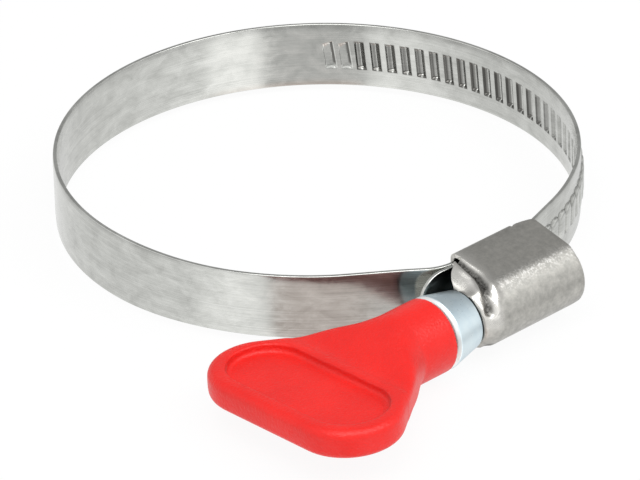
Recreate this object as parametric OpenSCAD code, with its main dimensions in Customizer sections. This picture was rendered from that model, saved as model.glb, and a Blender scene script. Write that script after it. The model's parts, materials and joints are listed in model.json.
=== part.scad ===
// Worm-drive hose clamp with a wing key, opened near the top of its range.
//
// Frame: the origin is the centre of the ring, halfway up the band. +Z runs
// along the hose. The housing sits at -Y, the screw lies along X, and the wing
// key points to -X. "Depth" below is the distance from the ring's centre
// towards the housing, so a point at depth n has y = -n.

/* [Band] */
// Inner radius of the ring where it is round
ring_r = 43.5; // [30:0.5:60]
// Width of the strip
band_w = 12; // [9:0.5:15]
// Thickness of the strip
band_t = 0.8; // [0.6:0.05:1]
// How far the free end stands out past the hem
tail_out = 8.2; // [4:0.1:12]
// Corner radius of the free end
tail_corner_r = 4.5; // [2:0.1:5]
// Angle at which the toothed run leaves the round for the housing
lead_in_deg = 18; // [16:0.5:20]
// How far the free end's tip is set back towards the hose
tip_set_back = 0.65; // [0:0.05:0.8]
// Straight stretch of the fixed end outside the hem, before it bends
fixed_out = 3; // [2.6:0.1:4]
// Inside radius of the two bends in the strip
bend_r = 7; // [4:0.5:10]

/* [Pressed teeth] */
// Pitch of the teeth and of the screw thread
pitch = 2.78; // [2.4:0.01:3.4]
// Length of a tooth across the strip
tooth_len = 5.4; // [4:0.1:7]
// Height of a tooth, and half its width
tooth_r = 0.75; // [0.55:0.01:0.95]
// Depth of the hollow behind a tooth
tooth_hollow_r = 0.62; // [0.4:0.01:0.8]
// Polar angle of the first tooth, from +X
first_tooth_deg = 44.2; // [0:0.1:90]
// Smaller teeth at the start of the row
starter_teeth = 2; // [0:1:4]

/* [Housing] */
// Thickness of the housing's sheet
wall = 0.75; // [0.6:0.05:0.9]
// Outer radius of the barrel round the screw
barrel_r = 5.9; // [5:0.1:7.5]
// End of the barrel away from the key
barrel_end = 5.6; // [4.5:0.1:8]
// End of the hems away from the key
hem_end = 1.4; // [0:0.1:3]
// Length of the hems
hem_len = 12.7; // [9:0.1:15]
// Width of the hem's lip under the strip
hem_lip = 2.6; // [1.5:0.1:3.5]
// Length of the closed nose between the hem and the key
nose_len = 4.7; // [4.4:0.1:6]
// Depth of the crimp that holds the screw in
crimp_depth = 0.85; // [0.6:0.05:1]

/* [Screw] */
// Depth of the thread
thread_depth = 0.7; // [0.5:0.05:0.9]
// Length of the thread
thread_len = 14.6; // [12:0.1:18]
// Radius of the neck that runs in the crimp
neck_r = 3.8; // [3:0.1:4]
// Radius of the collar at the key
collar_r = 6.3; // [5.5:0.1:7]
// Radius of the collar at the housing
collar_small_r = 5.1; // [4.6:0.1:5.6]
// Length of the collar
collar_len = 6.6; // [5:0.1:9]
// Width across flats of the drive stub in the key
stub_af = 7; // [5:0.5:8]
// Length of the drive stub
stub_len = 11; // [8:0.5:14]

/* [Wing key] */
// Length of the key from the collar to its far edge
key_len = 36; // [32:0.5:46]
// Width of the wing
wing_w = 37; // [30:0.5:46]
// Thickness of the wing's rim
rim_t = 5; // [4:0.1:7]
// Width of the rim round the finger recess
rim_w = 2.8; // [2:0.1:4]
// Corner radius of the wing
wing_corner_r = 9; // [8:0.1:11]
// Depth of the finger recess on each side
recess_depth = 1.5; // [0.5:0.1:1.8]
// Width of the finger recess
recess_w = 13.4; // [10:0.1:17]
// Width of the bar between the recess and the neck
bar_w = 2.6; // [2:0.1:4]
// Angle of the wing's sides to the screw, less the right angle
side_deg = 36; // [30:1:42]
// Rounding of the rim's edges
rim_round = 1.5; // [0.8:0.1:1.8]
// Length of the round socket that takes the screw
socket_len = 7; // [5:0.1:9]
// Turn of the key about the screw at rest
key_turn_deg = -3; // [-45:1:45]

/* [Hidden] */

sheet_gap = 0.05;     // between the two layers of strip
edge_gap = 0.45;      // between the strip's edge and the housing's flank
run_gap = 0.08;       // radial clearance of the thread in the barrel
mesh_gap = 0.2;       // radial clearance between thread and strip
seat_gap = 0.05;      // round the drive stub in the key
ring_facets = 180;
fine_facets = 64;
tooth_facets = 10;
over = 1;             // how far a cutting shape stands past what it cuts

// How far the hems cover the strip's fixed end, and how far outside them the
// tongue is kinked
hem_cover = 0.2;
kink_out = 1;

// Depths of the layers under the screw, from the hose outwards. The hems' lips
// end flush with the ring, so nothing stands into the hose.
fixed_n = ring_r + wall;
toothed_n = fixed_n + band_t + sheet_gap;
tooth_root_n = toothed_n + band_t;
thread_r = barrel_r - wall - run_gap;
axis_n = tooth_root_n + mesh_gap + thread_r;
root_r = thread_r - thread_depth;

// Stations along the screw
hem_start = hem_end - hem_len;
nose_start = hem_start - 1.3;
nose_end = hem_start - nose_len;
thread_end = barrel_end - 1;
thread_start = thread_end - thread_len;
collar_small_x = nose_end - 0.8;
collar_x = collar_small_x - collar_len;
tail_x = hem_start - tail_out;

// ---------------------------------------------------------------- strip ---

// Where the fixed end leaves the housing, and where it meets the round
fixed_bend_x = -hem_start + fixed_out;
fixed_bend_deg = atan2(fixed_bend_x, fixed_n)
    + acos(ring_r / norm([fixed_bend_x, fixed_n]));
fixed_stop_x = hem_end - hem_cover;

// Where the toothed run turns parallel to the screw
lead_bend_x = (ring_r - toothed_n * cos(lead_in_deg)) / sin(lead_in_deg);

// Centre of a bend of inside radius r whose straight leg lies at depth n
function bend_centre(corner_x, n, r, turn_deg, side) =
    [corner_x - side * r * tan(turn_deg / 2), -(n - r)];
function polar(r, deg) = [r * cos(deg), r * sin(deg)];
tongue_bend_x = hem_start - kink_out;
lap_len = 0.1;
hair = 0.002;

fixed_bend_c = bend_centre(-fixed_bend_x, fixed_n, bend_r, fixed_bend_deg, -1);
lead_bend_c = bend_centre(lead_bend_x, toothed_n, bend_r, lead_in_deg, 1);
round_start_deg = -90 + lead_in_deg;
round_end_deg = 270 - fixed_bend_deg;

// Side outline of a curved stretch about c, with the hose side at radius r
module arc_outline(c, r, from_deg, to_deg) {
    steps = ceil((to_deg - from_deg) / 30);
    translate(c) intersection() {
        difference() {
            circle(r + band_t);
            circle(r);
        }
        polygon(concat([[0, 0]], [for (i = [0:steps])
            polar(2 * r, from_deg + (to_deg - from_deg) * i / steps)]));
    }
}

// Side outline of a straight stretch from a to b, whose outer side looks to
// out_deg. It is a hair thinner than the bends and laps into them.
module line_outline(a, b, out_deg) {
    lap = lap_len * (b - a) / norm(b - a);
    inner = polar(hair, out_deg);
    outer = polar(band_t - hair, out_deg);
    polygon([a - lap + inner, b + lap + inner, b + lap + outer, a - lap + outer]);
}

// Side outline of the free end under the screw, with its tip set back to clear
// the screw's collar
module tongue_outline() {
    path = [[lead_bend_c.x + lap_len, toothed_n], [tongue_bend_x, toothed_n],
        [tail_x, toothed_n - tip_set_back]];
    polygon(concat([for (p = path) [p.x, -p.y - hair]],
        [for (k = [2:-1:0]) [path[k].x, -path[k].y - band_t + hair]]));
}

// The whole strip from the side, from the fixed end to the free end
module strip_outline() {
    line_outline([fixed_stop_x, -fixed_n], [fixed_bend_c.x, -fixed_n], -90);
    arc_outline(fixed_bend_c, bend_r, -90 - fixed_bend_deg, -90, $fn = fine_facets);
    line_outline(fixed_bend_c + polar(bend_r, round_end_deg),
        polar(ring_r, round_end_deg), round_end_deg);
    arc_outline([0, 0], ring_r, round_start_deg, round_end_deg, $fn = ring_facets);
    line_outline(lead_from, lead_to, round_start_deg);
    arc_outline(lead_bend_c, bend_r, -90, round_start_deg, $fn = fine_facets);
    tongue_outline();
}

// What is cut off the free end to round its two corners
module tail_corners() {
    r = tail_corner_r;
    translate([0, over - toothed_n, 0]) rotate([90, 0, 0])
        linear_extrude(band_t + 2 * over)
            for (side = [0, 1]) mirror([0, side]) difference() {
                translate([tail_x - over, band_w / 2 - r]) square(r + over);
                translate([tail_x + r, band_w / 2 - r]) circle(r, $fn = fine_facets);
                translate([tail_x + r, 0]) square(r + over);
            }
}

// ---------------------------------------------------------------- teeth ---

mid_r = ring_r + band_t / 2;
helix_deg = atan(pitch / (2 * PI * (thread_r - thread_depth / 2)));
deg_to_len = PI / 180;
round_len = mid_r * (first_tooth_deg - round_start_deg) * deg_to_len;
lead_from = polar(ring_r, round_start_deg);
lead_to = lead_bend_c + polar(bend_r, round_start_deg);
lead_len = norm(lead_to - lead_from);
lead_bend_len = (bend_r + band_t / 2) * lead_in_deg * deg_to_len;
straight_at = round_len + lead_len + lead_bend_len;
toothed_len = straight_at + lead_bend_c.x - tongue_bend_x - tooth_r;
tooth_count = floor(toothed_len / pitch) + 1;

// Place of a tooth s along the strip: a point on the outer face and the
// polar angle in which that face looks
function tooth_at(s) =
    s < round_len ?
        let (a = first_tooth_deg - s / mid_r / deg_to_len) [polar(ring_r + band_t, a), a]
    : s < round_len + lead_len ?
        [lead_from + (s - round_len) * polar(1, round_start_deg - 90)
            + polar(band_t, round_start_deg), round_start_deg]
    : s < straight_at ?
        let (a = round_start_deg - (s - round_len - lead_len)
            / (bend_r + band_t / 2) / deg_to_len)
        [lead_bend_c + polar(bend_r + band_t, a), a]
    : [[lead_bend_c.x - (s - straight_at), -tooth_root_n], -90];

// An upright bar, which stands half out of the strip as a tooth
module bar(r, half) {
    translate([0, 0, -half]) cylinder(r = r, h = 2 * half, $fn = tooth_facets);
}

// A bar at every tooth, that far below the strip's outer face. The first teeth
// of the row are smaller.
starter_size = 0.55;

module tooth_bars(below_face, r, half) {
    for (k = [0:tooth_count - 1]) {
        place = tooth_at(k * pitch);
        size = k < starter_teeth ? starter_size : 1;
        translate([place[0].x, place[0].y, 0]) rotate([0, 0, place[1]])
            translate([-below_face, 0, 0]) rotate([-helix_deg, 0, 0]) bar(size * r, half);
    }
}

// Notches in the fixed end that the hems are staked into
stake_r = 0.9;
stake_x = (hem_start + hem_end) / 2;

module stakes(r, n0, n1) {
    for (side = [-1, 1])
        translate([stake_x, -n0, side * band_w / 2]) rotate([90, 0, 0])
            cylinder(r = r, h = n1 - n0, $fn = fine_facets);
}

module band() {
    color([0.74, 0.74, 0.72]) difference() {
        union() {
            linear_extrude(band_w, center = true) strip_outline();
            tooth_bars(0, tooth_r, tooth_len / 2);
        }
        tail_corners();
        tooth_bars(band_t, tooth_hollow_r, tooth_len / 2 - tooth_r + tooth_hollow_r);
        stakes(stake_r + seat_gap, fixed_n - band_t / 2, fixed_n + band_t + sheet_gap / 2);
    }
}

// -------------------------------------------------------------- housing ---

flank_z = band_w / 2 + edge_gap + wall;
flank_foot_n = fixed_n + band_t - sheet_gap;
nose_foot_n = tooth_root_n + 2 * sheet_gap;
// The ridge between flank and barrel, as depth from the axis and height
ridge = [0.44 * barrel_r, 0.95 * barrel_r];
shoulder_deg = 40;
hem_n = fixed_n + band_t / 2;
neck_gap = 0.5;

// Draws its children's (depth, z) section from x0 to x1
module along_x(x0, x1) {
    translate([x1, 0, 0]) rotate([90, 0, -90]) linear_extrude(x1 - x0) children();
}

// Barrel and flanks in section, drawn in by d, with the flanks cut at foot_n
module shell_section(d, foot_n) {
    r = barrel_r - d;
    translate([axis_n, 0]) circle(r, $fn = fine_facets);
    half = [[foot_n, flank_z - d], [axis_n + ridge.x, ridge.y - d],
        [axis_n + r * cos(shoulder_deg), r * sin(shoulder_deg)]];
    polygon(concat(half, [for (k = [2:-1:0]) [half[k].x, -half[k].y]]));
}

// The edge of a flank folded round the strip's edge
module hem_section() {
    fold_r = edge_gap + wall;
    for (side = [0, 1]) mirror([0, side]) {
        intersection() {
            difference() {
                translate([hem_n, band_w / 2]) circle(fold_r, $fn = fine_facets);
                translate([hem_n, band_w / 2]) circle(edge_gap, $fn = fine_facets);
            }
            translate([hem_n - fold_r, band_w / 2]) square(fold_r);
        }
        translate([hem_n - fold_r, band_w / 2 - hem_lip]) square([wall, hem_lip]);
        translate([hem_n, flank_z - wall]) square([nose_foot_n - hem_n, wall]);
    }
}

// The nose closes in on the neck of the screw. Each slice says how far it is from
// the nose's end and how far it is drawn in.
slice = 0.05;
nose_slices = [[nose_start - nose_end, 0.03], [1.3, 0.15], [0.5, 0.45], [0, 0.95]];
foot_cut = [2.9, 3.4]; // along the screw and in depth

module nose(d, end_x) {
    hull() for (cut = nose_slices) {
        x = min(end_x + cut[0], nose_start);
        along_x(x, x + slice) shell_section(d + cut[1], nose_foot_n);
    }
}

// What is cut off the nose's foot, so that only the barrel's end is closed
module nose_foot() {
    translate([0, 0, -flank_z]) linear_extrude(2 * flank_z) polygon([
        [nose_end - over, over - nose_foot_n],
        [nose_end + foot_cut.x, over - nose_foot_n],
        [nose_end + foot_cut.x, -nose_foot_n],
        [nose_end - over, -nose_foot_n - foot_cut.y * (1 + over / foot_cut.x)]]);
}

// A groove pressed in behind the nose, top and bottom, that keeps the screw in.
// It runs straight across the flank and then slants forward over the barrel.
crimp_r = 0.9;
crimp_x = nose_start - 0.4;
crimp_slant_deg = 28;
crimp_from_deg = 22;
crimp_shift = 0.75;
crimp_flank_deg = 20;
crimp_reach = 8;
crimp_lap = 0.1;
crimp_main_r = barrel_r + crimp_r - crimp_depth;
flank_slope_deg = atan((flank_z - ridge.y) / (axis_n + ridge.x - nose_foot_n));

module crimps(r) {
    for (side = [0, 1]) mirror([0, 0, side]) translate([crimp_x, -axis_n, 0])
        rotate([0, 0, -crimp_slant_deg]) translate([0, -crimp_shift, 0]) {
            rotate([0, 90, 0]) rotate([0, 0, 180])
                rotate_extrude(angle = 90 - crimp_from_deg, $fn = fine_facets)
                    translate([crimp_main_r, 0]) circle(r, $fn = 24);
            translate([0, -crimp_lap, crimp_main_r]) rotate([0, 0, crimp_flank_deg])
                rotate([flank_slope_deg - 90, 0, 0])
                    cylinder(r = r + crimp_lap / 5, h = crimp_reach, $fn = 24);
        }
}

module housing() {
    color([0.66, 0.66, 0.64]) union() {
        difference() {
            union() {
                along_x(nose_start, barrel_end) shell_section(0, nose_foot_n);
                nose(0, nose_end);
            }
            difference() {
                union() {
                    along_x(nose_start - 2 * slice, barrel_end + over)
                        shell_section(wall, nose_foot_n - over);
                    nose(wall, nose_end + wall);
                }
                crimps(crimp_r + wall);
            }
            crimps(crimp_r);
            translate([nose_end - over, -axis_n, 0]) rotate([0, 90, 0])
                cylinder(r = neck_r + neck_gap, h = wall + 3 * over, $fn = fine_facets);
            nose_foot();
            translate([nose_end - over, -nose_foot_n, -flank_z])
                cube([barrel_end - nose_end + 2 * over, barrel_r, 2 * flank_z]);
        }
        along_x(hem_start, hem_end) hem_section();
        along_x(hem_end, barrel_end) for (side = [0, 1]) mirror([0, side])
            translate([flank_foot_n, flank_z - wall])
                square([nose_foot_n - flank_foot_n, wall]);
        stakes(stake_r, hem_n - edge_gap - slice, flank_foot_n);
    }
}

// ---------------------------------------------------------------- screw ---

// Thread as one ribbon wound round the core, fading out at both ends
thread_steps = 24;
crest_half = 0.45;
foot_half = 0.8;
foot_sink = 0.25;
turns = (thread_len - 2 * foot_half) / pitch;
// The crests pass midway between the teeth in mesh
mesh_tooth_x = lead_bend_c.x - (ceil(straight_at / pitch) * pitch - straight_at);
mesh_phase_deg = 360 * (mesh_tooth_x - pitch / 2) / pitch;

fade_turns = 0.2;
least_fade = 0.03;

function fade(turn) = max(least_fade, min(1, min(turn, turns - turn) / fade_turns));
function thread_ring(k) =
    let (turn = k / thread_steps,
        x = thread_start + foot_half + turn * pitch,
        a = 360 * x / pitch - mesh_phase_deg,
        foot = root_r - foot_sink,
        crest = root_r + fade(turn) * thread_depth)
    [for (p = [[-foot_half, foot], [-crest_half, crest], [crest_half, crest],
        [foot_half, foot]]) [x + p.x, p.y * cos(a), p.y * sin(a)]];

module thread() {
    n = floor(turns * thread_steps);
    rings = [for (k = [0:n]) thread_ring(k)];
    points = [for (ring = rings) for (p = ring) p];
    sides = [for (k = [0:n - 1]) for (j = [0:3])
        let (a = 4 * k + j, b = 4 * k + (j + 1) % 4)
        each [[a, b, b + 4], [a, b + 4, a + 4]]];
    ends = [[3, 2, 1], [3, 1, 0],
        [4 * n, 4 * n + 1, 4 * n + 2], [4 * n, 4 * n + 2, 4 * n + 3]];
    polyhedron(points, concat(sides, ends));
}

chamfer = 0.45;
break_edge = 0.15;
neck_taper = 0.4;

module worm_screw() {
    color([0.77, 0.81, 0.84]) translate([0, -axis_n, 0]) {
        rotate([0, 90, 0]) rotate_extrude($fn = fine_facets) polygon([
            [0, collar_x], [collar_r - chamfer, collar_x],
            [collar_r - break_edge, collar_x + break_edge], [collar_r, collar_x + chamfer],
            [collar_small_r, collar_small_x - break_edge],
            [collar_small_r - break_edge, collar_small_x], [neck_r, collar_small_x],
            [neck_r, thread_start - neck_taper], [root_r, thread_start],
            [root_r, thread_end], [root_r - chamfer, thread_end + chamfer],
            [0, thread_end + chamfer]]);
        thread();
        rotate([key_turn_deg, 0, 0]) translate([collar_x - stub_len, 0, 0])
            rotate([0, 90, 0]) cylinder(d = stub_af / cos(30), h = stub_len + chamfer, $fn = 6);
    }
}

// ------------------------------------------------------------------ key ---

// The key is drawn with its axis on X, from its far edge to the collar
key_x0 = collar_x - key_len;
socket_r = collar_r + seat_gap;
wing_half = wing_w / 2;
bar_end = key_x0 + rim_w + recess_w + bar_w;

// Half width of the key at station x, where its side runs from the corner of
// the wing to the neck, drawn in by d
function side_at(x, d) = wing_half - wing_corner_r
    + (wing_corner_r - d - (x - key_x0 - wing_corner_r) * sin(side_deg)) / cos(side_deg);

// Rounded slab round an upright axis, for the rim of the wing
module rim_disc(r) {
    e = rim_round;
    rotate_extrude($fn = 48) polygon(concat(
        [[0, -rim_t / 2]],
        [for (a = [-90:30:0]) [r - e + e * cos(a), -(rim_t / 2 - e) + e * sin(a)]],
        [for (a = [0:30:90]) [r - e + e * cos(a), rim_t / 2 - e + e * sin(a)]],
        [[0, rim_t / 2]]));
}

module wing() {
    inner_r = rim_round + 1.5;
    inner_x = bar_end - inner_r;
    hull() for (side = [-1, 1]) {
        translate([key_x0 + wing_corner_r, side * (wing_half - wing_corner_r), 0])
            rim_disc(wing_corner_r);
        translate([inner_x, side * side_at(inner_x, inner_r), 0]) rim_disc(inner_r);
    }
}

// Finger recess: a slot with round ends, across the wing
module recess() {
    r = recess_w / 2;
    reach = wing_half - rim_w - r;
    translate([key_x0 + rim_w + r, 0, 0]) {
        for (side = [-1, 1]) translate([0, side * reach, 0])
            cylinder(r = r, h = rim_t, $fn = fine_facets);
        translate([-r, -reach, 0]) cube([recess_w, 2 * reach, rim_t]);
    }
}

// Sections of the neck: station, half width, half height and squareness,
// blending from a flat web at the wing to the round socket at the collar
neck_sections = 24;
neck_points = 40;
neck_x0 = bar_end - rim_round - 0.8;
socket_x = collar_x - socket_len;
web_half = rim_t / 2 - 0.45;
web_inset = 0.15;
side_blend = 1.4;
web_squareness = 5;
round_squareness = 2;
mouth_drop = 0.3;

function blend(t) = let (c = max(0, min(1, t))) c * c * (3 - 2 * c);
function soft_max(a, b, k) = (a + b + sqrt((a - b) * (a - b) + k * k)) / 2;
function neck_at(i) =
    let (u = i / neck_sections,
        x = neck_x0 + u * (collar_x - neck_x0),
        rise = blend((x - bar_end) / (socket_x - bar_end)),
        mouth = i == neck_sections ? mouth_drop : 0)
    [x, soft_max(side_at(x, web_inset), socket_r, side_blend * (1 - rise)) - mouth,
        web_half + (socket_r - web_half) * rise - mouth,
        web_squareness + (round_squareness - web_squareness) * rise];

function round_corner(c, e) = sign(c) * pow(abs(c), 2 / e);
function neck_ring(s) = [for (j = [0:neck_points - 1])
    let (a = 360 * j / neck_points)
    [s[0], s[1] * round_corner(cos(a), s[3]), s[2] * round_corner(sin(a), s[3])]];

module neck() {
    m = neck_points;
    points = [for (i = [0:neck_sections]) each neck_ring(neck_at(i))];
    sides = [for (i = [0:neck_sections - 1]) for (j = [0:m - 1])
        let (a = i * m + j, b = i * m + (j + 1) % m)
        each [[a, b + m, b], [a, a + m, b + m]]];
    last = neck_sections * m;
    polyhedron(points, concat(sides,
        [[for (j = [0:m - 1]) j]], [[for (j = [m - 1:-1:0]) last + j]]));
}

module wing_key() {
    color([0.92, 0.2, 0.17]) translate([0, -axis_n, 0]) rotate([key_turn_deg, 0, 0])
        difference() {
            union() {
                wing();
                neck();
            }
            for (side = [0, 1]) mirror([0, 0, side])
                translate([0, 0, rim_t / 2 - recess_depth]) recess();
            translate([collar_x - stub_len - seat_gap, 0, 0]) rotate([0, 90, 0])
                cylinder(d = stub_af / cos(30) + 2 * seat_gap, h = stub_len + over, $fn = 6);
        }
}

band();
housing();
worm_screw();
wing_key();
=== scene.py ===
# %% [markdown]
# # A worm-drive hose clamp with a wing key
#
# A steel strip is bent into a ring. Its toothed end runs through a folded steel
# housing, where a worm screw pulls it along. A plastic key turns the screw by
# hand. Four pieces are made here, each in the place of its CAD node: the strip,
# the housing, the screw and the key. All shapes are worked out in millimetres
# and brought to metres at the end, because Blender's tools for thickness,
# bevels and remeshing are easier to steer with plain sizes.

# %% [markdown]
# ## The frame
#
# The frame holds the CAD model: its nodes, its bodies and its materials' slots.

# %% Frame
import bpy
import json
import math
import numpy as np
from mathutils import Matrix, Vector

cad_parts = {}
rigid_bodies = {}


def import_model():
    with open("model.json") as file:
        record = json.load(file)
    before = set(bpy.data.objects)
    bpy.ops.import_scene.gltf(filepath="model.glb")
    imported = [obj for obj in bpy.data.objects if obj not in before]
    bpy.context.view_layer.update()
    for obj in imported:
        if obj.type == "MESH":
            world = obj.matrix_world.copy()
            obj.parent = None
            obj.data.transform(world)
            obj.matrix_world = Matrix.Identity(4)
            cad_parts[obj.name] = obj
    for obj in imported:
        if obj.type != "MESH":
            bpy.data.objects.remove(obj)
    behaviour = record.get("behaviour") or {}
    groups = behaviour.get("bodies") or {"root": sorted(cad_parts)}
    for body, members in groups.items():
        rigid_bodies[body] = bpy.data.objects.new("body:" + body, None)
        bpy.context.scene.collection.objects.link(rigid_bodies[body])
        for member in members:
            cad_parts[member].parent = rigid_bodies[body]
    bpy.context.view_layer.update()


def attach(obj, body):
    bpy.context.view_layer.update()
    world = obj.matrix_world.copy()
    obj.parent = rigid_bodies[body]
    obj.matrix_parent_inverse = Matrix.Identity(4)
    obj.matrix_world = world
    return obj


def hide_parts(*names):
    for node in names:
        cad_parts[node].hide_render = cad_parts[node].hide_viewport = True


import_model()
scene = bpy.context.scene

# %% [markdown]
# ## Camera
#
# A long lens from 0.8 m keeps the ring's ellipse flat and the strip's edges
# nearly parallel. The camera stands 28.9 degrees above the ring's plane, on the
# side of the key, aims a little under the ring's centre and leans by a degree.

# %% Camera
AZIMUTH, ELEVATION, ROLL = map(math.radians, (-42.5, 28.904, -1.305))
DISTANCE, LENS_PX, IMAGE_PX = 0.8, 4756.0, 640
AIM_PX = (2.5, 65.8)  # right of and below the ring's centre


def place_camera():
    back = Vector((math.sin(AZIMUTH) * math.cos(ELEVATION),
                   -math.cos(AZIMUTH) * math.cos(ELEVATION), math.sin(ELEVATION)))
    level = Vector((math.cos(AZIMUTH), math.sin(AZIMUTH), 0))
    upright = back.cross(level)
    right = level * math.cos(ROLL) + upright * math.sin(ROLL)
    up = upright * math.cos(ROLL) - level * math.sin(ROLL)
    eye = back * DISTANCE
    aim = (right * AIM_PX[0] - up * AIM_PX[1]) * (DISTANCE / LENS_PX)
    back = (eye - aim).normalized()
    right = up.cross(back).normalized()
    up = back.cross(right)
    data = bpy.data.cameras.new("camera")
    data.sensor_fit, data.sensor_width = "HORIZONTAL", 36.0
    data.lens = LENS_PX / IMAGE_PX * data.sensor_width
    camera = bpy.data.objects.new("camera", data)
    camera.matrix_world = Matrix((
        (right.x, up.x, back.x, eye.x), (right.y, up.y, back.y, eye.y),
        (right.z, up.z, back.z, eye.z), (0, 0, 0, 1)))
    scene.collection.objects.link(camera)
    scene.camera = camera
    return camera


camera = place_camera()
print("camera at", [round(c, 3) for c in camera.location], "lens", round(camera.data.lens, 1))

# %% [markdown]
# ## Helpers for meshes
#
# Every piece starts as points and faces worked out with numpy. The modifiers
# that thicken, round or remesh it run while it is still in millimetres, and
# their result is kept as a plain mesh, so that it exports as it is seen.

# %% Mesh helpers
MM = 0.001


def make_piece(name, points, faces):
    mesh = bpy.data.meshes.new(name)
    mesh.from_pydata(np.asarray(points, float).tolist(), [], faces)
    mesh.update()
    piece = bpy.data.objects.new(name, mesh)
    scene.collection.objects.link(piece)
    return piece


def keep_modifiers(piece):
    seen = piece.evaluated_get(bpy.context.evaluated_depsgraph_get())
    mesh = bpy.data.meshes.new_from_object(seen)
    piece.modifiers.clear()
    piece.data = mesh
    return mesh


def store_value(piece, name, value):
    """Stores a value for each point, which a material can read by that name."""
    layer = piece.data.attributes.new(name, "FLOAT", "POINT")
    layer.data.foreach_set("value", value.astype(np.float32).reshape(-1))


def place_piece(piece, node, body, material, sharp_deg):
    mesh = piece.data
    mesh.transform(Matrix.Scale(MM, 4))
    mesh.polygons.foreach_set("use_smooth", np.ones(len(mesh.polygons), bool))
    mesh.set_sharp_from_angle(angle=math.radians(sharp_deg))
    mesh.materials.clear()
    mesh.materials.append(material)
    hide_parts(node)
    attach(piece, body)
    print(piece.name, "has", len(mesh.vertices), "points and", len(mesh.polygons), "faces")


def grid_faces(columns, rows, wrap=False):
    """Quads of a grid whose points are listed column by column."""
    last = rows if wrap else rows - 1
    return [(i * rows + j, i * rows + (j + 1) % rows,
             (i + 1) * rows + (j + 1) % rows, (i + 1) * rows + j)
            for i in range(columns - 1) for j in range(last)]


def blend(t):
    """Runs softly from 0 to 1 as t does."""
    t = np.clip(t, 0, 1)
    return t * t * (3 - 2 * t)


print("a quarter of the way, blend gives", round(float(blend(0.25)), 3))

# %% [markdown]
# ## The strip's path
#
# The strip is one piece of steel from end to end. From its fixed end under the
# screw it runs flat, bends down to the ring, goes round clockwise, leaves the
# ring on a tangent, bends flat again and ends as a rounded tongue. A list of
# straight and curved stretches, walked by length along the middle of the sheet,
# gives a point and an outward direction for every station, which is how the
# real strip keeps its length and the even spacing of its teeth.

# %% Path of the strip
RING_R, STRIP_T, STRIP_W = 43.5, 0.8, 12.0
FIXED_DEPTH, TONGUE_DEPTH = 44.25, 45.1  # of the two flat layers, from the ring's centre
BEND_R, FIXED_BEND, LEAD_BEND = 7.0, (-11.8477, -37.25), (0.856738, -38.1)
FIXED_DEG, LEAD_DEG = 231.387, -72.0  # where the fixed end and the toothed end leave the ring
FIXED_STOP_X, KINK_X, TAIL_X, TIP_SET_BACK = 1.2, -12.3, -19.5, 0.65
FIRST_TOOTH_DEG = 44.2


def polar(radius, deg):
    return np.array([radius * math.cos(math.radians(deg)),
                     radius * math.sin(math.radians(deg))])


def line(start, end):
    start, end = np.array(start, float), np.array(end, float)
    way = end - start
    deg = math.degrees(math.atan2(way[1], way[0])) + 90
    return {"length": np.linalg.norm(way), "start": start, "way": way / np.linalg.norm(way),
            "deg": (deg, deg)}


def arc(centre, radius, start_deg, end_deg):
    length = (radius + STRIP_T / 2) * math.radians(start_deg - end_deg)
    return {"length": length, "centre": np.array(centre), "radius": radius,
            "deg": (start_deg, end_deg)}


stretches = [
    line((FIXED_STOP_X, -FIXED_DEPTH), (FIXED_BEND[0], -FIXED_DEPTH)),
    arc(FIXED_BEND, BEND_R, 270, FIXED_DEG),
    line(np.array(FIXED_BEND) + polar(BEND_R, FIXED_DEG), polar(RING_R, FIXED_DEG)),
    arc((0, 0), RING_R, FIXED_DEG, LEAD_DEG),
    line(polar(RING_R, LEAD_DEG), np.array(LEAD_BEND) + polar(BEND_R, LEAD_DEG)),
    arc(LEAD_BEND, BEND_R, LEAD_DEG, -90),
    line((LEAD_BEND[0], -TONGUE_DEPTH), (KINK_X, -TONGUE_DEPTH)),
    line((KINK_X, -TONGUE_DEPTH), (TAIL_X, -TONGUE_DEPTH + TIP_SET_BACK)),
]
ends = np.cumsum([0] + [s["length"] for s in stretches])
# Stations are counted from the first tooth
first_tooth = ends[3] + (RING_R + STRIP_T / 2) * math.radians(FIXED_DEG - FIRST_TOOTH_DEG)
ends -= first_tooth
print("strip is", round(ends[-1] - ends[0], 1), "mm long")

# %% [markdown]
# ## Points on the path
#
# A point of the strip is given by its station, its distance out from the hose
# side and its height. On a straight stretch a station moves it ahead, and on a
# curved one it turns it round the bend's centre, so every bend stays a true arc.

# %% Points on the path
def strip_points(s, out, z):
    """Points at station s, at distance out from the hose side, at height z."""
    s, out, z = np.broadcast_arrays(s, out, z)
    x, y = np.zeros(s.shape), np.zeros(s.shape)
    which = np.clip(np.searchsorted(ends, s, side="right") - 1, 0, len(stretches) - 1)
    for k, stretch in enumerate(stretches):
        here = which == k
        t = s[here] - ends[k]
        if "way" in stretch:
            side = polar(1, stretch["deg"][0])
            x[here] = stretch["start"][0] + t * stretch["way"][0] + out[here] * side[0]
            y[here] = stretch["start"][1] + t * stretch["way"][1] + out[here] * side[1]
        else:
            start, end = stretch["deg"]
            angle = np.radians(start + (end - start) * t / stretch["length"])
            radius = stretch["radius"] + out[here]
            x[here] = stretch["centre"][0] + radius * np.cos(angle)
            y[here] = stretch["centre"][1] + radius * np.sin(angle)
    return np.stack([x, y, z], axis=-1)


print("the first tooth stands at", strip_points(np.zeros(1), 0, 0)[0].round(1).tolist(), "mm")

# %% [markdown]
# ## The strip's grid
#
# The teeth could be a bump in the material, but then the strip would be smooth in
# outline and at every edge. Here the relief is real geometry, on a grid: columns
# along the strip, and rows round its section, with more of both where a tooth
# bends the sheet. The strip is slit from a wider coil, and its edges are rounded
# a little.

# %% Columns and section of the strip
PITCH, TEETH = 2.78, 42
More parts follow.
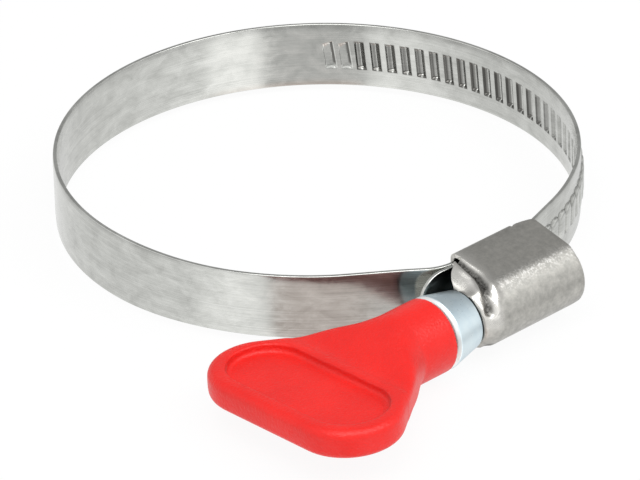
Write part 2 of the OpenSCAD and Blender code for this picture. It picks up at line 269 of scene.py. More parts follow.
# Columns within one tooth, closest together at the walls of its hollow
TOOTH_STEPS = [-1.27, -1.14, -1.00, -0.90, -0.82, -0.76, -0.68, -0.60, -0.44, -0.24, -0.06,
               0.03, 0.10, 0.18, 0.28, 0.42, 0.54, 0.68, 0.80, 0.92, 1.04, 1.16, 1.28]
EDGE_R, TONGUE_R = 0.14, 4.5
FACE_ROWS = [0, 0.5, 1.0, 1.5, 1.9, 2.1, 2.28, 2.42, 2.53, 2.62, 2.72, 2.86,
             3.2, 3.8, 4.4, 4.8, 5.1, 5.4, 5.65, STRIP_W / 2 - EDGE_R]


def strip_columns():
    def steps(a, b, size):
        return list(np.linspace(a, b, max(2, int(math.ceil((b - a) / size)) + 1)))[:-1]
    toothed = [k * PITCH + u for k in range(TEETH) for u in TOOTH_STEPS]
    corner = [ends[-1] - TONGUE_R * (1 - math.sin(a)) for a in np.linspace(0, math.pi / 2, 15)]
    return np.array(
        steps(ends[0], ends[1], 1.5) + steps(ends[1], ends[2], 0.55)
        + steps(ends[2], ends[3], 1.6) + steps(ends[3], toothed[0] - 1, 1.1)
        + [toothed[0] - 1] + toothed + steps(toothed[-1] + 0.6, corner[0], 1.2) + corner)


def strip_section():
    """Height and outward place of each row, and which rows lie on which face."""
    rows = np.concatenate([-np.array(FACE_ROWS)[:0:-1], FACE_ROWS])
    turn = np.radians(np.arange(15, 90, 15))
    side = STRIP_W / 2
    edge_z = side - EDGE_R + EDGE_R * np.sin(turn)
    edge_out = EDGE_R - EDGE_R * np.cos(turn)
    z = np.concatenate([rows, edge_z, [side] * 2, edge_z[::-1],
                        rows[::-1], -edge_z, [-side] * 2, -edge_z[::-1]])
    out = np.concatenate([
        np.full(len(rows), STRIP_T), STRIP_T - edge_out, [STRIP_T - EDGE_R, EDGE_R],
        edge_out[::-1], np.zeros(len(rows)), edge_out, [EDGE_R, STRIP_T - EDGE_R],
        STRIP_T - edge_out[::-1]])
    place = np.arange(len(z))
    outer = place < len(rows)
    inner = (place >= len(z) // 2) & (place < len(z) // 2 + len(rows))
    return z, out, outer, inner


print("strip grid:", len(strip_columns()), "columns of", len(strip_section()[0]), "points")

# %% [markdown]
# ## The teeth's hollows
#
# A press stamps the teeth into the flat strip, so each tooth is a hollow on the hose side and a
# low rib outside. A hollow has a long slope and a steep wall, from the slanted punch. The first
# two are only lightly struck: they slant a little and run out softly at the foot. The hollows'
# walls and floors are darkened as painted shade, and a value stored on the points says how much.

# %% Hollows
STARTERS, STARTER_SKEW = 2, 0.05


def hollow_depth(u, z, starter):
    """Depth of a hollow, u along the strip from its middle and z across it."""
    across = np.interp(u, [-0.82, -0.52, 0.03, 0.18, 0.28, 0.80, 0.92],
                       [0, 0.38, 0.50, 0.62, 0.60, 0.12, 0])
    along = blend((2.66 - np.abs(z)) / 0.36)
    # A lightly struck one has a slanting head and runs out slowly at its foot
    flat = np.interp(u + STARTER_SKEW * z, [-0.90, -0.82, 0.42, 0.54, 1.04],
                     [0, 0.16, 0.26, 0.34, 0])
    head = np.interp(u, [-0.9, 0.9], [1.95, 2.66])
    run_out = blend((head - z) / 0.14) * blend((z + 2.74) / (0.85 - 0.55 * np.abs(u - 0.1)))
    return np.where(starter, flat * run_out, across * along)


def hollow_shade_amount(u, z, starter):
    """How much painted shade a point of a hollow gets, from 0 to 1."""
    across = np.interp(u, [-0.90, -0.82, -0.52, -0.24, -0.06, 0.03, 0.10, 0.18, 0.80, 0.92, 1.0],
                       [0, 0.75, 0.60, 0.48, 0.36, 0.0, 0.0, 1.0, 0.95, 0.5, 0])
    inside = np.interp(u, [-0.90, -0.82, 0.92, 1.0], [0, 1, 1, 0])
    # Painted shade: the foot's end wall is dark right across, but for a bright dot left unshaded
    # in its middle
    foot_end = blend((-z - 2.22) / 0.10)
    dot = np.exp(-((u - 0.10) / 0.17) ** 2) * blend((-z - 2.34) / 0.10)
    across = (across * (1 - foot_end) + inside * foot_end) * (1 - dot)
    along = blend((2.80 - z) / 0.14) * blend((2.86 + z) / 0.14)
    flat = np.interp(u + STARTER_SKEW * z, [-0.95, -0.90, -0.82, -0.74, 0.42, 0.54, 0.92, 1.04],
                     [0, 0.7, 0.6, 0.0, 0.0, 1.0, 0.95, 0])
    head = np.interp(u, [-0.9, 0.9], [2.0, 2.72])
    run_out = blend((head - z) / 0.12) * blend((z + 2.1) / 0.4)
    return np.where(starter, flat * run_out, across * along)


print("a hollow is up to", round(float(hollow_depth(0.18, 0.0, False)), 2), "mm deep")

# %% [markdown]
# ## The teeth's ribs
#
# The metal that is pushed out of a hollow stands up outside as a low rib with
# round ends. A power of the distance to its border gives it a flat top and a
# quick fall. The ribs inside the housing are narrower, so that they clear its
# walls. Each point is moved by what its own tooth asks for.

# %% Ribs
FIRST_BURIED = 34  # teeth from here on lie inside the housing
RIB_RISE, STARTER_RISE, BURIED_RISE = 0.46, 0.35, 0.70


def rib_reach(u, z, buried):
    """How near a point is to the border of its rib, which is round-ended: 1 is on it."""
    half = np.where(buried, 1.04, 1.27)
    core = np.where(buried, 1.68, 1.45)
    return np.hypot(u, np.clip(np.abs(z) - core, 0, None)) / half


def rib_height(reach, starter, buried):
    rise = np.clip(1 - reach ** np.where(buried, 2, 4), 0, 1) ** np.where(buried, 0.5, 0.9)
    return np.where(starter, STARTER_RISE, np.where(buried, BURIED_RISE, RIB_RISE)) * rise


def stamp_teeth(s, z, outer, inner):
    """How far each point moves outwards, and how much painted shade it gets."""
    k = np.round(s / PITCH)
    u = s - k * PITCH
    in_row = (k >= 0) & (k < TEETH) & (np.abs(u) < 1.3)
    on_rib, on_hollow = in_row & outer, in_row & inner
    starter, buried = k < STARTERS, k >= FIRST_BURIED
    reach = rib_reach(u, z, buried)
    shift = np.where(on_rib, rib_height(reach, starter, buried), 0) \
        + np.where(on_hollow, hollow_depth(u, z, starter), 0)
    # The painted shade on the floors grows from hollow to hollow, then fades again
    darker = np.where(u < 0, np.interp(k, [4, 10, 14, 19], [1, 1.65, 1.6, 0.3]),
                      np.interp(k, [16, 23, 28], [1, 0.85, 0.4]))
    # Painted shade in the hollows, and a painted shade line round each rib's border
    tooth_shade = np.where(on_hollow, np.minimum(hollow_shade_amount(u, z, starter) * darker, 1), 0) \
        + np.where(on_rib, 0.55 * np.exp(-((reach - 0.95) / 0.13) ** 2), 0)
    return shift, tooth_shade


print(TEETH, "teeth,", STARTERS, "of them lightly struck,", TEETH - FIRST_BURIED, "in the housing")

# %% [markdown]
# ## The strip's mesh
#
# Station, height and outward place of every point go through the same few
# changes that the real strip does: the teeth are stamped, the edges dressed so
# that both faces curve in a little, the tongue's corners cut round, and the whole
# bent along its path. The columns lean with the screw's helix, as the teeth do. A
# slight twist where the strip runs to the housing is what such a strip keeps from
# its coil.

# %% Strip
HELIX = math.tan(math.radians(5.355))
DRESSED, DRESSED_FROM, TWIST = 0.09, 4.4, 0.08


def close_ends(faces, count, n, middle):
    """Closes both ends by quads between the outer and the inner face."""
    for start, turned in ((0, False), ((count - 1) * n, True)):
        for i in range(n // 2 - 1):
            quad = [start + (middle + i) % n, start + (middle + i + 1) % n,
                    start + (middle - 2 - i) % n, start + (middle - 1 - i) % n]
            faces.append(tuple(quad[::-1] if turned else quad))


def make_strip():
    columns = strip_columns()
    loop_z, loop_out, outer, inner = strip_section()
    n = len(loop_z)
    s, z = np.meshgrid(columns, loop_z, indexing="ij")
    shift, tooth_shade = stamp_teeth(s, z, outer, inner)
    out = loop_out + shift
    # Dressed edges
    beyond = np.clip(np.abs(z) - DRESSED_FROM, 0, None) / (STRIP_W / 2 - DRESSED_FROM)
    out = out + DRESSED * beyond ** 2 * np.sign(STRIP_T / 2 - out)
    # The twist comes in after the bend and is gone well into the ring
    out = out + z * TWIST * blend((s - ends[2] - 2) / 14) * blend((ends[3] + 40 - s) / 24)
    # Round corners of the tongue
    left = np.clip(ends[-1] - s, 0, TONGUE_R)
    z = z * (1 - (TONGUE_R - np.sqrt(TONGUE_R ** 2 - (TONGUE_R - left) ** 2)) / (STRIP_W / 2))
    # The columns lean with the helix, and stand upright outside the toothed run
    lean = blend((s + 4) / 3) * blend((ends[-1] - 5 - s) / 3)
    points = strip_points(s - lean * z * HELIX, out, z)
    faces = grid_faces(len(columns), n, wrap=True)
    close_ends(faces, len(columns), n, n - (n // 2 - np.count_nonzero(outer)) // 2)
    piece = make_piece("strip", points.reshape(-1, 3), faces)
    # A map of the strip in millimetres, for marks that follow its length. The
    # inner face has its own place on it, 40 mm away.
    flat_map = piece.data.uv_layers.new(name="strip_mm")
    index = np.zeros(len(piece.data.loops), np.int32)
    piece.data.loops.foreach_get("vertex_index", index)
    place = np.stack([s, z + np.where(inner, 40.0, 0)], axis=-1).reshape(-1, 2)
    flat_map.data.foreach_set("uv", place[index].astype(np.float32).reshape(-1))
    # The teeth's painted shade, stored for the material
    store_value(piece, "tooth_shade", tooth_shade)
    return piece


strip = make_strip()
print("strip has", len(strip.data.vertices), "points")

# %% [markdown]
# ## The housing's section
#
# The housing is one sheet of steel, folded over the screw. Seen along the screw,
# it goes from a hem under the strip's edge, round the edge, up a sloping flank,
# over a ridge, round the barrel and down the other side. Half of that path is
# written as points of depth and height, and the other half mirrors it. A press
# can't fold a sharp ridge, so a bend of a set radius takes its place.

# %% Housing section
AXIS_DEPTH = 51.17
BARREL_R, SHOULDER_DEG = 5.9, 40
FLANK_Z, RIDGE, RIDGE_BEND_R = 7.2, (2.6, 5.6), 2.6
HEM_DEPTH, HEM_R, LIP_Z = 44.65, 1.2, 3.4
NOSE_FOOT, FLANK_FOOT = 46.0, 45.0


def round_bend(path, corner, radius, count):
    """Puts a bend of that radius in place of a corner of a path of (depth, z)."""
    before, at, after = (np.array(p, float) for p in (path[corner - 1], path[corner],
                                                      path[corner + 1]))
    a, b = (before - at) / np.linalg.norm(before - at), (after - at) / np.linalg.norm(after - at)
    half = math.acos(np.clip(a @ b, -1, 1)) / 2
    reach = radius / math.tan(half)
    centre = at + (a + b) / np.linalg.norm(a + b) * radius / math.sin(half)
    start, end = at + a * reach - centre, at + b * reach - centre
    turn = np.linspace(0, 1, count)
    bend = [start * (1 - t) + end * t for t in turn]
    return [centre + v / np.linalg.norm(v) * radius for v in bend]


def housing_half():
    """(depth, z) from the hem's lip to the middle of the barrel, and row marks."""
    lip = [(HEM_DEPTH - HEM_R, z) for z in (LIP_Z, 4.2, 5.1, 6.0)]
    fold = [(HEM_DEPTH - HEM_R * math.cos(a), 6 + HEM_R * math.sin(a))
            for a in np.radians(np.arange(11.25, 90, 11.25))]
    flank = [(HEM_DEPTH, FLANK_Z), (FLANK_FOOT, FLANK_Z), (45.5, FLANK_Z), (NOSE_FOOT, FLANK_Z)]
    foot, ridge = (NOSE_FOOT, FLANK_Z), (AXIS_DEPTH + RIDGE[0], RIDGE[1])
    shoulder = (AXIS_DEPTH + BARREL_R * math.cos(math.radians(SHOULDER_DEG)),
                BARREL_R * math.sin(math.radians(SHOULDER_DEG)))
    bend = round_bend([foot, ridge, shoulder], 1, RIDGE_BEND_R, 9)
    slope = [(foot[0] + t * (bend[0][0] - foot[0]), foot[1] + t * (bend[0][1] - foot[1]))
             for t in np.linspace(0, 1, 15)[1:-1]]
    barrel = [(AXIS_DEPTH + BARREL_R * math.cos(a), BARREL_R * math.sin(a))
              for a in np.radians(np.linspace(SHOULDER_DEG, 0, 13))]
    half = lip + fold + flank + slope + [tuple(p) for p in bend] + barrel
    marks = {"flank_foot": len(lip) + len(fold) + 1, "nose_foot": len(lip) + len(fold) + 3}
    return np.array(half), marks


half_section, marks = housing_half()
section = np.concatenate([half_section * [1, -1], half_section[-2::-1]])
print("housing section:", len(section), "points, rows", marks)

# %% [markdown]
# ## The housing along the screw
#
# The sheet's outer face is a grid of those sections, closest together where the
# grooves will bend it. At the open end the flanks are cut back in a curve.

# %% Housing body
BARREL_END, HEM_END, HEM_MIDDLE, HEM_START, NOSE_START = 5.6, 1.4, -8.2, -11.3, -12.8
FLANK_FOOT_CURVE = ((1.4, 2.0, 2.6, 3.8, 5.0, 5.6), (44.66, 44.4, 44.38, 44.6, 44.95, 45.3))


def body_columns():
    xs = [BARREL_END]
    for end, count in ((HEM_END, 8), (HEM_MIDDLE, 14), (HEM_START, 16), (NOSE_START, 10)):
        xs += list(np.linspace(xs[-1], end, count)[1:])
    columns = []
    for x in xs:
        column = np.column_stack([np.full(len(section), x), section])
        if x >= HEM_END:
            foot_rows = [marks["flank_foot"], -1 - marks["flank_foot"]]
            column[foot_rows, 1] = np.interp(x, *FLANK_FOOT_CURVE)
        columns.append(column)
    return columns


print("housing body:", len(body_columns()), "columns")

# %% [markdown]
# ## The nose
#
# At the key's end the sheet is drawn in round the screw's neck, to a rounded nose
# with an end wall and a hole. Each section moves in towards the axis, by more the
# nearer it is to the end. The foot is cut back in a curve, and the lower side
# stands back from the collar.

# %% Nose
NOSE_END, NOSE_SLOPE, NOSE_LOBE_SLOPE, NOSE_LOW_SLOPE = -16.4, 0.22, 0.42, 0.08
NOSE_ROUND, NOSE_SKEW, NECK_HOLE_R, LEAST_WALL = 0.4, 0.7, 4.3, 0.6
NOSE_FOOT_CURVE = ((-16.4, -15.9, -15.0, -14.0, -12.8), (48.7, 47.8, 47.0, 46.6, 46.1))


def nose_columns():
    half = half_section
    ridge_row = np.argmin(np.hypot(half[:, 0] - AXIS_DEPTH - RIDGE[0], half[:, 1] - RIDGE[1]))
    ridge, flank = half[ridge_row, 0], half[marks["nose_foot"]:ridge_row + 1]
    share = np.clip((ridge - section[:, 0]) / (ridge - NOSE_FOOT), 0, 1)
    slope = NOSE_SLOPE + (NOSE_LOBE_SLOPE - NOSE_SLOPE) * blend(share * 2.5) \
        + NOSE_LOW_SLOPE * blend(-section[:, 1] / 5)
    columns = []
    for a in np.radians(np.linspace(0, 90, 19)[1:]):
        run = (NOSE_START - NOSE_END) * math.sin(a)
        x = NOSE_START - run
        # The foot of the nose is cut back in a curve
        foot = np.interp(x, *NOSE_FOOT_CURVE)
        cut = section.copy()
        cut[:, 0] = np.where(share > 0, ridge - share * (ridge - foot), section[:, 0])
        cut[:, 1] = np.where(share > 0, np.sign(section[:, 1]) * np.interp(
            cut[:, 0], flank[:, 0], flank[:, 1]), section[:, 1])
        # The rest draws in towards the axis, but never to less than a ring of wall
        inward = cut - [AXIS_DEPTH, 0]
        reach = np.linalg.norm(inward, axis=1)
        d = np.minimum(slope * run ** 2 / (run + 0.8) + NOSE_ROUND * (1 - math.cos(a)) ** 2,
                       reach - NECK_HOLE_R - LEAST_WALL)
        drawn = cut - inward * (d / reach)[:, None]
        back = NOSE_SKEW * math.sin(a) ** 2 * blend((2 - drawn[:, 1]) / 6)
        columns.append(np.column_stack([x + back, drawn]))
    return columns


def end_wall(rim):
    """The wall from the drawn-in outline to the hole round the neck."""
    around = np.arctan2(rim[:, 2], rim[:, 1] - AXIS_DEPTH)
    hole = np.column_stack([rim[:, 0], AXIS_DEPTH + NECK_HOLE_R * np.cos(around),
                            NECK_HOLE_R * np.sin(around)])
    walls = []
    for t in (0.3, 0.65, 1.0):
        wall = rim * (1 - t) + hole * t
        wall[:, 0] = rim[:, 0] - 0.12 * math.sin(t * math.pi / 2)
        walls.append(wall)
    return walls


def housing_grid():
    columns = body_columns() + nose_columns()
    return np.array(columns + end_wall(columns[-1]))


print("housing grid:", housing_grid().shape[0], "columns")

# %% [markdown]
# ## The grooves behind the nose
#
# A tool presses a groove into each side behind the nose, to lock the sheet round
# the screw's neck. Its middle line is a path of points on the sheet. To press it,
# two measures are needed at every point of the grid: how far the point is from
# that line, and which way is out of the sheet there.

# %% Middle line of a groove
GROOVE = np.array([(-12.1, 44.6, 7.5), (-12.4, 48.0, 6.9), (-12.5, 50.6, 6.25),
                   (-13.0, 52.3, 5.85), (-13.7, 53.8, 5.35), (-14.4, 54.9, 4.65),
                   (-14.9, 55.8, 3.7), (-15.2, 56.4, 2.75)])  # (x, depth, z)

def distance_to_line(points, way):
    """Signed distance of each point from a path: below 0 on the nose's side."""
    best = np.full(len(points), 1e9)
    signed, past = np.zeros(len(points)), np.zeros(len(points))
    for a, b in zip(way[:-1], way[1:]):
        ab = b - a
        t_free = ((points - a) @ ab) / (ab @ ab)
        gap = points - (a + np.clip(t_free, 0, 1)[:, None] * ab)
        d = np.linalg.norm(gap, axis=1)
        nearer = d < best
        best = np.where(nearer, d, best)
        signed = np.where(nearer, np.where(gap[:, 0] < 0, -d, d), signed)
        beyond = np.clip(t_free - 1, 0, None) * np.linalg.norm(ab)
        past = np.where(nearer, beyond if np.allclose(b, way[-1]) else 0, past)
    return signed, past


def outward_normals(points):
    """Outward direction of the surface, from its neighbours in the grid."""
    normal = np.cross(np.gradient(points, axis=0), np.gradient(points, axis=1))
    normal /= np.linalg.norm(normal, axis=-1, keepdims=True) + 1e-9
    out = points - [0, AXIS_DEPTH - 2, 0]
    out[..., 0] = 0
    return normal * np.sign(np.sum(normal * out, axis=-1, keepdims=True))


print("groove is", round(float(np.linalg.norm(np.diff(GROOVE, axis=0), axis=1).sum()), 1),
      "mm long")

# %% [markdown]
# ## Pressing the grooves
#
# The tool moves the sheet in along its own direction. The metal it pushes aside swells up beside
# the groove. That metal is burnished and also gets a painted highlight, and the groove itself is
# painted dark as shade. Both are stored on the points. The lower groove is shallower and shorter.

# %% Grooves
GROOVES = ((1, len(GROOVE), 0.95), (-1, 6, 0.25))  # side, points used, depth


def press_grooves(flat, normal):
    """The moved points, how much painted shade each gets in a groove, and how burnished, with a
    painted highlight, each is.
    """
    moved = flat.copy()
    groove_shade, burnish_and_sheen = np.zeros(len(flat)), np.zeros(len(flat))
    x, depth, z = flat.T
    for side, count, deep in GROOVES:
        d, past = distance_to_line(flat, GROOVE[:count] * [1, 1, side])
        near = z * side > -1
        width = np.where(d < 0, 0.72, 0.90) * (0.6 + 0.4 * blend((depth - 46) / 5))
        press = deep * np.exp(-(np.abs(d) / width) ** 2.6) * blend(1 - past / 0.9) * near
        swell = blend(1 - past / 1.3) * near * (side > 0) * np.where(
            d > 0, blend((depth - 51.5) / 2.5) * 0.36 * np.exp(-((d - 1.5) / 0.62) ** 2),
            0.24 * np.exp(-((d + 1.15) / 0.42) ** 2) * blend((depth - 47) / 2))
        moved += normal * (swell - press)[:, None]
        # Painted shade along the groove
        groove_shade = np.maximum(groove_shade, np.exp(-(np.abs(d - 0.12) / width / 0.95) ** 4)
                            * blend(1 - past / 0.7) * near)
        # Burnished metal round the groove, brightened as a painted highlight
        burnish_and_sheen = np.maximum(burnish_and_sheen, np.exp(-(np.abs(d - 0.2) / 1.7) ** 2) * near)
    # The nose is burnished and given a painted highlight as well, but for its end and its lower
    # side
    lobe = blend((-12.0 - x) / 1.6) * (1 - 0.7 * blend((-15.0 - x) / 1.0))
    return moved, groove_shade, np.maximum(burnish_and_sheen, lobe) * blend((z + 1.5) / 3.5)


print("grooves are", [deep for _, _, deep in GROOVES], "mm deep")

# %% [markdown]
# ## The housing's sheet
#
# A Solidify modifier gives the outer face the sheet's thickness, which is how
# sheet metal is easiest to make, and a Bevel rounds the cut edges. Faces of the
# grid that the real sheet doesn't have, below its feet and between the hems, are
# left out.

# %% Housing
WALL, CUT_EDGE = 0.75, 0.13


def housing_faces(middle_x, n):
    low = np.minimum(np.arange(n), n - 1 - np.arange(n))
    faces = []
    for i, x in enumerate((middle_x[:-1] + middle_x[1:]) / 2):
        foot = 0 if HEM_START < x < HEM_END else \
            marks["flank_foot"] if x > HEM_END else marks["nose_foot"]
        faces += [(i * n + j, i * n + j + 1, (i + 1) * n + j + 1, (i + 1) * n + j)
                  for j in range(n - 1) if min(low[j], low[j + 1]) >= foot]
    return faces


def make_housing():
    points = housing_grid()
    n = points.shape[1]
    flat = points.reshape(-1, 3)
    moved, groove_shade, burnish_and_sheen = press_grooves(flat, outward_normals(points).reshape(-1, 3))
    # A painted highlight of bright flecks along the ridges
    painted_ridge_glint = np.exp(-(np.hypot(flat[:, 1] - 53.9, np.abs(flat[:, 2]) - 5.3) / 0.95) ** 2) \
        * blend((flat[:, 0] + 12) / 1.5)
    faces = housing_faces(moved.reshape(points.shape)[:, n // 2, 0], n)
    piece = make_piece("housing_shell", moved * [1, -1, 1], faces)
    for name, value in (("groove_shade", groove_shade), ("burnish_and_sheen", burnish_and_sheen), ("painted_ridge_glint", painted_ridge_glint)):
        store_value(piece, name, value)
    solid = piece.modifiers.new("sheet", "SOLIDIFY")
    solid.thickness, solid.offset = WALL, -1
    rounded = piece.modifiers.new("edges", "BEVEL")
    rounded.width, rounded.segments, rounded.limit_method = CUT_EDGE, 3, "ANGLE"
    rounded.angle_limit = math.radians(50)
    keep_modifiers(piece)
    return piece


shell = make_housing()
print("housing has", len(shell.data.vertices), "points")

# %% [markdown]
# ## The screw's turned profile
#
# A lathe turns the collar, the neck and the core, so the screw is a profile spun round its axis.
# The tapered collar has a bevelled rim on the key's side, which the plating's material brightens
# as a painted highlight.

# %% Turned profile
THREAD_START, THREAD_END = -10.0, 4.6
THREAD_R, ROOT_R, NECK_R = 5.07, 4.37, 3.8
COLLAR_X, COLLAR_SMALL_X, COLLAR_ROUND = -23.4, -16.65, 0.22
COLLAR_R, COLLAR_SMALL_R = 6.3, 5.1
RING_END = COLLAR_X + 1.0
KEY_GAP = 0.16
STUB_X, STUB_R = -34.4, 3.4


def spin(profile, count):
    """Points and faces of a closed profile of (x, radius) turned round the axis."""
    turn = np.linspace(0, 2 * math.pi, count, endpoint=False)
    points = [(x, r * math.cos(a), r * math.sin(a)) for x, r in profile for a in turn]
    faces = grid_faces(len(profile), count, wrap=True)
    first, last = len(points), len(points) + 1
    points += [(profile[0][0], 0, 0), (profile[-1][0], 0, 0)]
    end = (len(profile) - 1) * count
    faces += [(first, (j + 1) % count, j) for j in range(count)]
    faces += [(last, end + j, end + (j + 1) % count) for j in range(count)]
    return points, faces


def screw_profile():
    start = COLLAR_X + KEY_GAP
    stub = [(STUB_X, 0.4), (STUB_X, STUB_R - 0.3), (STUB_X + 0.3, STUB_R), (start, STUB_R)]
    rim = [(start, 5.0), (start, 5.55), (start + 0.05, 5.68),
           (RING_END - 0.22, 6.2), (RING_END - 0.12, 6.27), (RING_END, COLLAR_R)]
    taper = [(RING_END + t * (COLLAR_SMALL_X - COLLAR_ROUND - RING_END),
              COLLAR_R + t * (COLLAR_SMALL_R - COLLAR_R)) for t in (0.03, 0.3, 0.65, 0.97, 1)]
    shoulder = [(COLLAR_SMALL_X - COLLAR_ROUND * (1 - math.sin(a)),
                 COLLAR_SMALL_R - COLLAR_ROUND * (1 - math.cos(a)))
                for a in np.radians((20, 40, 60, 80, 90))]
    neck = [(COLLAR_SMALL_X, NECK_R + 0.3), (COLLAR_SMALL_X + 0.3, NECK_R),
            (THREAD_START - 0.5, NECK_R), (THREAD_START, ROOT_R)]
    end = [(THREAD_END - 0.1, ROOT_R), (THREAD_END + 0.25, ROOT_R - 0.12),
           (THREAD_END + 0.45, ROOT_R - 0.45), (THREAD_END + 0.45, 0.5)]
    return stub + rim + taper + shoulder + neck + end


print("profile from", screw_profile()[0][0], "to", screw_profile()[-1][0], "mm")

# %% [markdown]
# ## The screw's thread
#
# The thread is rolled, not cut: a low ribbon wound round the core, right-hand,
# fading into it at both ends. Its crests pass midway between the strip's teeth.

# %% Screw
MESH_TOOTH_X = 0.3126
RIBBON = [(-0.8, -0.2), (-0.62, 0.15), (-0.44, 0.9), (-0.34, 1.0), (0.34, 1.0),
          (0.44, 0.9), (0.62, 0.15), (0.8, -0.2)]  # (along the screw, share of the height)


def thread_ribbon():
    per_turn, foot_half = 48, RIBBON[-1][0]
    turns = (THREAD_END - THREAD_START - 2 * foot_half) / PITCH
    phase = 2 * math.pi * (MESH_TOOTH_X - PITCH / 2) / PITCH
    points = []
    count = int(turns * per_turn)
    for k in range(count + 1):
        turn = k / per_turn
        fade = float(blend(min(turn, turns - turn) / 0.3))
        x = THREAD_START + foot_half + turn * PITCH
        a = 2 * math.pi * x / PITCH - phase
        for dx, rise in RIBBON:
            r = ROOT_R + (rise * fade if rise > 0 else rise) * (THREAD_R - ROOT_R)
            points.append((x + dx, r * math.cos(a), r * math.sin(a)))
    m = len(RIBBON)
    faces = grid_faces(count + 1, m, wrap=True)
    faces += [tuple(range(m)), tuple(count * m + j for j in reversed(range(m)))]
    return points, faces


def join_parts(parts):
    points, faces = [], []
    for more_points, more_faces in parts:
        start = len(points)
        points += list(more_points)
        faces += [tuple(start + i for i in face) for face in more_faces]
    return points, faces


def make_screw():
    points, faces = join_parts([spin(screw_profile(), 128), thread_ribbon()])
    return make_piece("screw", np.array(points) + [0, -AXIS_DEPTH, 0], faces)


screw = make_screw()
print("screw has", len(screw.data.vertices), "points")

# %% [markdown]
# ## The wing of the key
#
# The key is injection moulded in one piece: a thin wing with a finger recess on
# each side, and a web that swells into a round socket. It is put together from
# rough parts first. The wing is a slab with four round corners and round edges.

# %% Wing
KEY_X0, WING_HALF, CORNER_R = -59.4, 18.5, 9.0
RIM_T, RIM_W, RIM_ROUND = 5.0, 2.8, 1.5
RECESS_W, BAR_W = 13.4, 2.6
SIDE_DEG = 36
SIDE_RAD = math.radians(SIDE_DEG)
BAR_END = KEY_X0 + RIM_W + RECESS_W + BAR_W


def side_at(x):
    """Half width of the key where its side runs from the wing to the neck."""
    return WING_HALF - CORNER_R + (CORNER_R - (x - KEY_X0 - CORNER_R) * math.sin(SIDE_RAD)) \
        / math.cos(SIDE_RAD)


def wing_outline(inset, count=24):
    """Outline of the wing drawn in by inset, as four rounded corners."""
    inner_r = 2.5
    inner_x = BAR_END - inner_r
    inner_y = side_at(inner_x) - inner_r / math.cos(SIDE_RAD)
    outer_y = WING_HALF - CORNER_R
    outer_x, lean = KEY_X0 + CORNER_R, 90 - SIDE_DEG
    out = []
    for cx, cy, r, a0, a1 in (
            (outer_x, outer_y, CORNER_R, 180, lean), (inner_x, inner_y, inner_r, lean, 0),
            (inner_x, -inner_y, inner_r, 0, -lean), (outer_x, -outer_y, CORNER_R, -lean, -180)):
        for a in np.radians(np.linspace(a0, a1, count)):
            out.append((cx + (r - inset) * math.cos(a), cy + (r - inset) * math.sin(a)))
    return out


def loft(rings):
    m = len(rings[0])
    points = [p for ring in rings for p in ring]
    faces = grid_faces(len(rings), m, wrap=True)
    faces += [tuple(range(m)), tuple((len(rings) - 1) * m + j for j in reversed(range(m)))]
    return points, faces


def wing_part():
    rings = []
    for a in np.radians(np.linspace(-90, 90, 13)):
        inset = RIM_ROUND * (1 - math.cos(a))
        z = (RIM_T / 2 - RIM_ROUND) * np.sign(a) + RIM_ROUND * math.sin(a)
        rings.append([(x, y, z) for x, y in wing_outline(inset)])
    return loft(rings)


print("wing is", 2 * WING_HALF, "mm wide and", RIM_T, "mm thick")

# %% [markdown]
# ## The web, the socket and the recess
#
# The web and the socket are a loft whose sections go from a flat box to a circle,
# as wide as the wing's slanting sides at first. The finger recess is a shape of
# its own, with a soft corner at its floor, and is cut out of both sides later.

# %% Web and recess
SOCKET_R, SOCKET_X = 6.35, COLLAR_X - 7.0
WEB_HALF_T, WEB_OVERLAP, RECESS_DEPTH = 2.3, 2.3, 1.5


def neck_part():
    rings, count, m = [], 40, 72
    for i in range(count + 1):
        x = BAR_END - WEB_OVERLAP + i / count * (COLLAR_X - BAR_END + WEB_OVERLAP)
        rise = float(blend((x - BAR_END) / (SOCKET_X - BAR_END)))
        a, b, k = side_at(x), SOCKET_R, 1.4 * (1 - rise)
        wide = (a + b + math.sqrt((a - b) ** 2 + k * k)) / 2
        thick = WEB_HALF_T + (SOCKET_R - WEB_HALF_T) * rise
        power = 2 + 6 * (1 - rise) ** 2
        rings.append([(x, wide * math.copysign(abs(math.cos(t)) ** (2 / power), math.cos(t)),
                       thick * math.copysign(abs(math.sin(t)) ** (2 / power), math.sin(t)))
                      for t in np.linspace(0, 2 * math.pi, m, endpoint=False)])
    return loft(rings)


def recess_part(side):
    r = RECESS_W / 2
    reach = WING_HALF - RIM_W - r
    cx, floor_z = KEY_X0 + RIM_W + r, RIM_T / 2 - RECESS_DEPTH
    rings = []
    for inset, z in ((0.5, floor_z), (0.12, floor_z + 0.25), (0, RIM_T / 2 - 0.6),
                     (-0.1, RIM_T / 2 + 2)):
        rings.append([(cx + (r - inset) * math.cos(a), cy + (r - inset) * math.sin(a), side * z)
                      for cy, a0 in ((reach, 0), (-reach, 180))
                      for a in np.radians(np.linspace(a0, a0 + 180, 32))])
    return loft(rings)


print("recess is", RECESS_W, "mm wide and", RECESS_DEPTH, "mm deep")

# %% [markdown]
# ## The wing key's skin
#
# A voxel remesh melts the rough parts into one skin, the recesses are cut out, a
# second remesh evens the cuts, and smoothing rounds every edge a little, as a
# mould does. The key stands turned by a few degrees about the screw.

# %% Key
VOXEL, KEY_TURN_DEG = 0.24, -3


